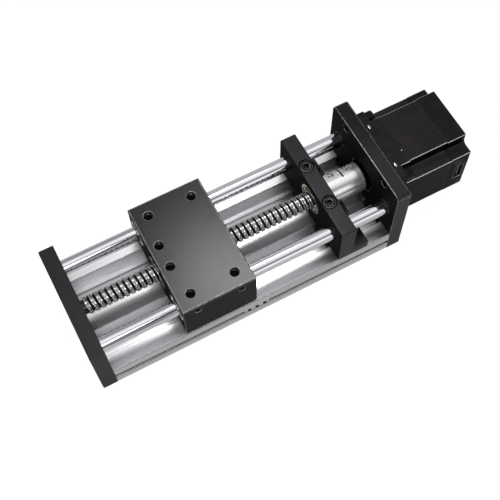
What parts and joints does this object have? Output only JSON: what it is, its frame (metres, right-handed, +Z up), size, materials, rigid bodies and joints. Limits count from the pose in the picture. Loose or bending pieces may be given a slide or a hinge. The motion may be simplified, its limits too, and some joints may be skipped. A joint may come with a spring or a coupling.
{
  "type": "ball screw linear module",
  "caption": "Motor-driven ball screw linear module: a carriage on two guide rods over a channelled base, with bearing block, shaft coupling and square stepper motor.",
  "frame": {"origin": "on the standing surface, under the middle of the whole length and width", "axes": "+X along the screw towards the motor, +Y across the base, +Z up"},
  "size_m": [0.274, 0.08, 0.0665],
  "materials": {
    "base_aluminium": "satin anodised",
    "bearing_steel": "ground",
    "black_anodised": "black anodised, fine matt",
    "black_oxide_steel": "black oxide",
    "connector_plastic": "moulded",
    "coupling_aluminium": "turned",
    "lamination": "black lacquered laminations",
    "motor_black": "black paint on die casting, semi-gloss",
    "nut_steel": "ground",
    "polished_rod": "ground and polished",
    "screw_steel": "rolled, oiled",
    "spring_steel": "phosphated",
    "wiper_plastic": "matt",
    "zinc_steel": "zinc plated"
  },
  "bodies": {
    "frame": {"base_extrusion": "base_aluminium", "bearing_block": "black_anodised", "bearing_block_screws": "black_oxide_steel", "bearing_retaining_ring": "spring_steel", "end_bearing_outer_ring": "bearing_steel", "end_plate": "black_anodised", "guide_rod_front": "polished_rod", "guide_rod_rear": "polished_rod", "motor_connector": "connector_plastic", "motor_front_bell": "motor_black", "motor_mount_screws": "black_oxide_steel", "motor_plate": "black_anodised", "motor_rear_bell": "motor_black", "motor_stack": "lamination", "slot_nut": "zinc_steel", "support_bearing_outer_ring": "bearing_steel"},
    "screw": {"ball_screw": "screw_steel", "end_bearing_inner_ring": "bearing_steel", "support_bearing_inner_ring": "bearing_steel", "spacer_sleeve": "bearing_steel", "coupling": "coupling_aluminium", "coupling_screws": "black_oxide_steel", "motor_shaft": "bearing_steel", "motor_rotor": "lamination"},
    "carriage": {"carriage_block": "black_anodised", "ball_nut": "nut_steel", "nut_wipers": "wiper_plastic", "bushing_front_left": "bearing_steel", "bushing_front_right": "bearing_steel", "bushing_rear_left": "bearing_steel", "bushing_rear_right": "bearing_steel"}
  },
  "joints": [
    {"name": "screw_spin", "type": "hinge", "parent": "frame", "child": "screw", "pos_m": [-0.027, 0, 0.038], "axis": [1, 0, 0], "range_deg": [-4862, 4142]},
    {"name": "carriage_slide", "type": "slide", "parent": "frame", "child": "carriage", "axis": [1, 0, 0], "range_m": [-0.046, 0.054]}
  ],
  "couplings": [
    {"joint": "screw_spin", "follows": "carriage_slide", "rad_per_m": -1570.8}
  ]
}
